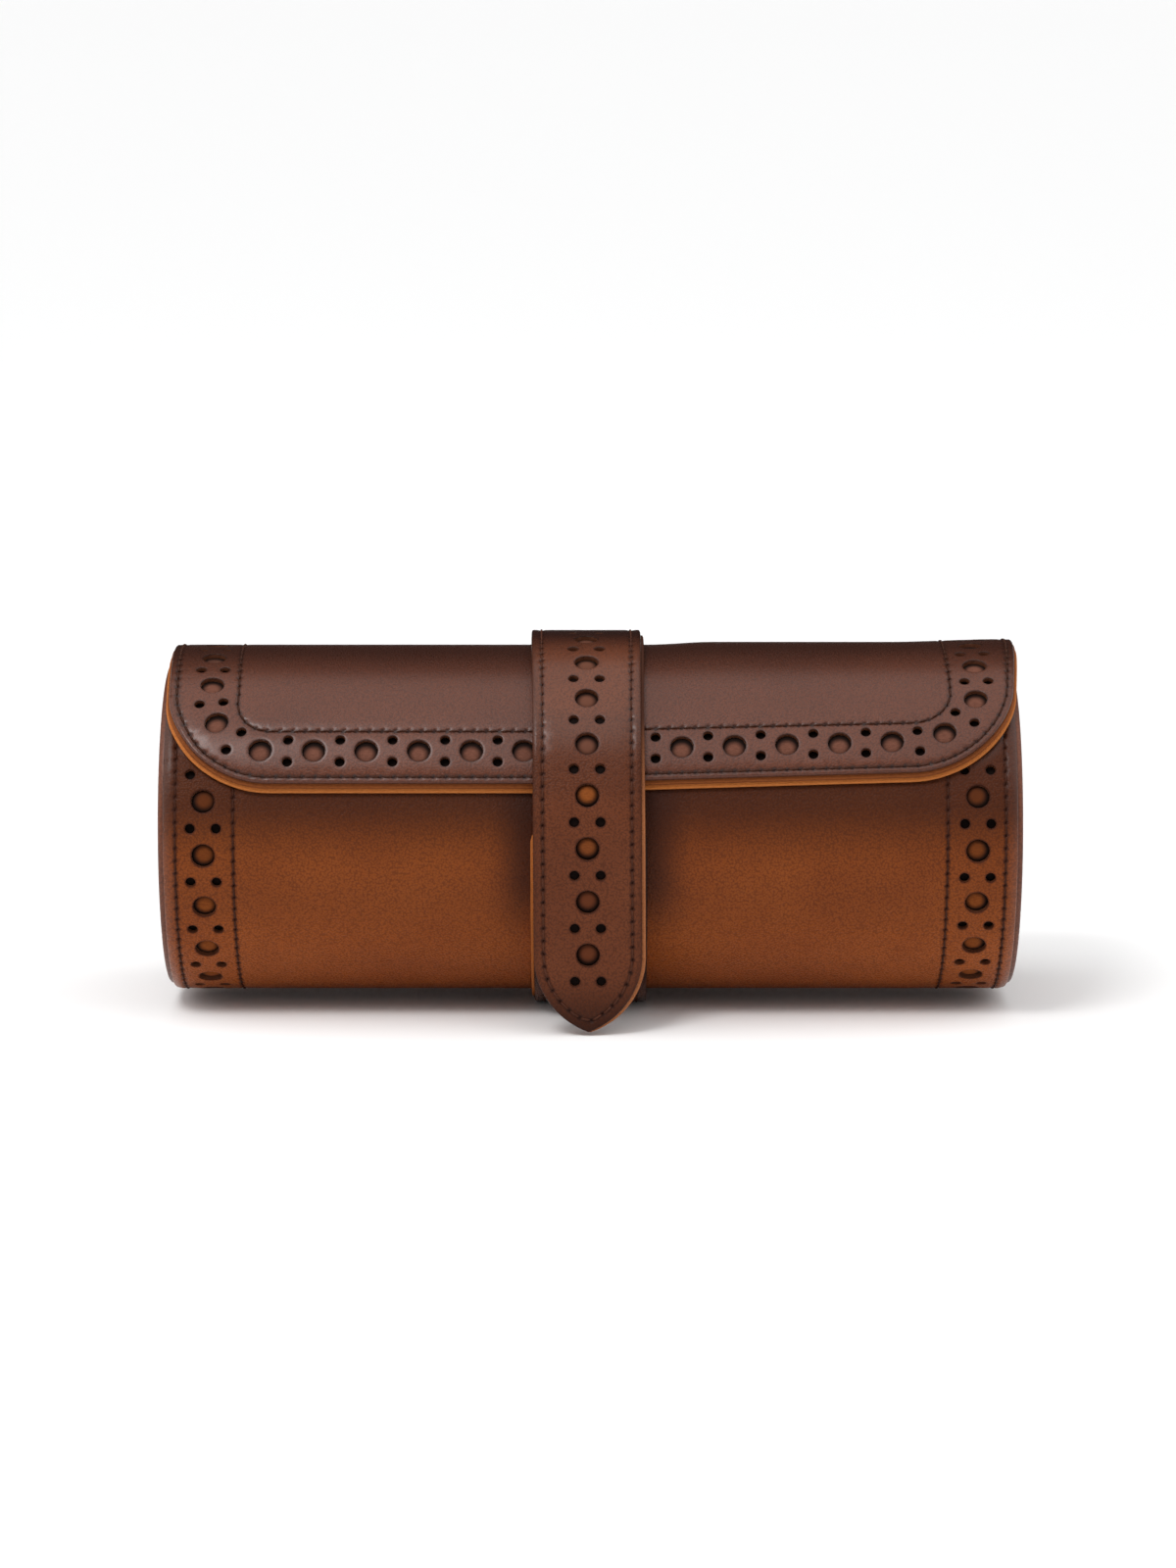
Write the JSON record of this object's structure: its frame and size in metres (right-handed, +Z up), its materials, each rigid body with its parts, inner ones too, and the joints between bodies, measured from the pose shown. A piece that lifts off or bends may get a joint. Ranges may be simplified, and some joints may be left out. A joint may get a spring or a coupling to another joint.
{
  "type": "watch roll",
  "caption": "Rolled leather watch case with a perforated border, a flap over the top, a pointed strap and soft watch cushions inside.",
  "frame": {"origin": "middle of the flat underside that the roll rests on, under its axis", "axes": "+X along the roll to the right, -Y to the front where the strap hangs, +Z up"},
  "size_m": [0.2126, 0.0951, 0.0938],
  "materials": {
    "tray_leather": "burnished tan calf leather, semi-matt",
    "flap_leather": "burnished dark brown calf leather, semi-matt",
    "tan_backing": "natural tan leather with raw edges",
    "suede_lining": "fine suede",
    "cushion_suede": "soft suede over foam",
    "board": "pressed fibre board",
    "magnet": "plated magnet"
  },
  "bodies": {
    "case": {"case_outer_leather": "tray_leather", "case_backing": "tan_backing", "case_board": "board", "case_lining": "suede_lining", "end_cover_left": "tray_leather", "end_cover_right": "tray_leather", "end_board_left": "board", "end_board_right": "board", "end_lining_left": "suede_lining", "end_lining_right": "suede_lining", "divider_left": "suede_lining", "divider_right": "suede_lining", "lower_strap_leather": "tray_leather", "lower_strap_backing": "tan_backing", "lower_strap_magnet": "magnet"},
    "flap": {"flap_outer_leather": "flap_leather", "flap_core": "tan_backing", "flap_lining": "tan_backing", "strap_patch_leather": "flap_leather", "strap_patch_backing": "tan_backing"},
    "strap": {"strap_outer_leather": "flap_leather", "strap_backing": "tan_backing", "strap_magnet": "magnet"},
    "cushion_left": {"cushion_left": "cushion_suede"},
    "cushion_centre": {"cushion_centre": "cushion_suede"},
    "cushion_right": {"cushion_right": "cushion_suede"}
  },
  "joints": [
    {"name": "flap_fold", "type": "hinge", "parent": "case", "child": "flap", "pos_m": [0, 0.03326, 0.07319], "axis": [-1, 0, 0], "range_deg": [0, 115]},
    {"name": "strap_fold", "type": "hinge", "parent": "flap", "child": "strap", "pos_m": [0, 0.02386, 0.08656], "axis": [-1, 0, 0], "range_deg": [0, 110]},
    {"name": "cushion_left_lift", "type": "slide", "parent": "case", "child": "cushion_left", "axis": [0, 0, 1], "range_m": [0, 0.028]},
    {"name": "cushion_centre_lift", "type": "slide", "parent": "case", "child": "cushion_centre", "axis": [0, 0, 1], "range_m": [0, 0.028]},
    {"name": "cushion_right_lift", "type": "slide", "parent": "case", "child": "cushion_right", "axis": [0, 0, 1], "range_m": [0, 0.028]}
  ]
}
